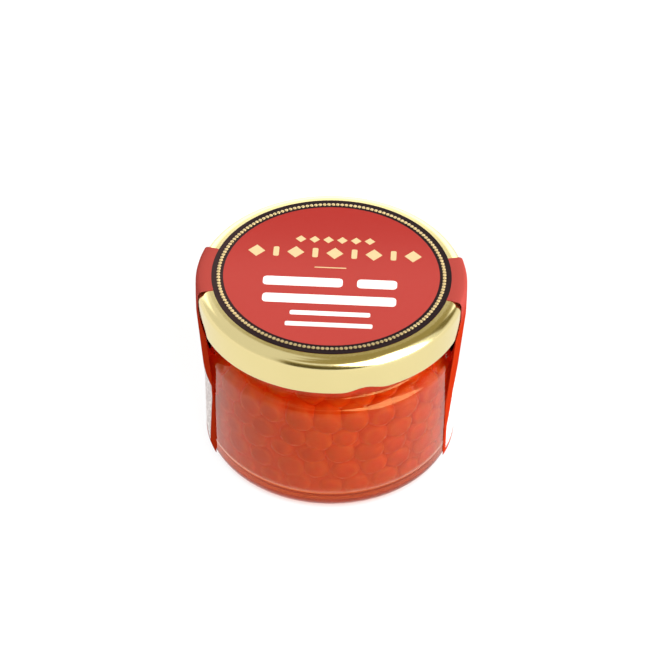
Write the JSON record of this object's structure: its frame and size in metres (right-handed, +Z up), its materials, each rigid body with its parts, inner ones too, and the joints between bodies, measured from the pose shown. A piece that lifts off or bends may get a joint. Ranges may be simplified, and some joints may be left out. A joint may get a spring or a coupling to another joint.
{
  "type": "salmon roe in a shut glass jar",
  "caption": "Squat round glass jar full of orange salmon roe, shut by a gold twist-off lid under a paper seal whose round disc runs down both sides as wings.",
  "frame": {"origin": "where the jar's axis meets the surface that the jar stands on", "axes": "+Z up along the jar's axis, -Y the front, +X towards the seal's right wing"},
  "size_m": [0.067, 0.066, 0.05],
  "materials": {
    "glass": "clear, gloss",
    "gold_lacquer": "gold lacquer on tinplate, satin gloss",
    "label_paper": "printed, satin varnish",
    "roe": "wet, translucent"
  },
  "bodies": {
    "root": {"jar": "glass", "lid": "gold_lacquer", "label": "label_paper", "roe": "roe"}
  },
  "joints": []
}
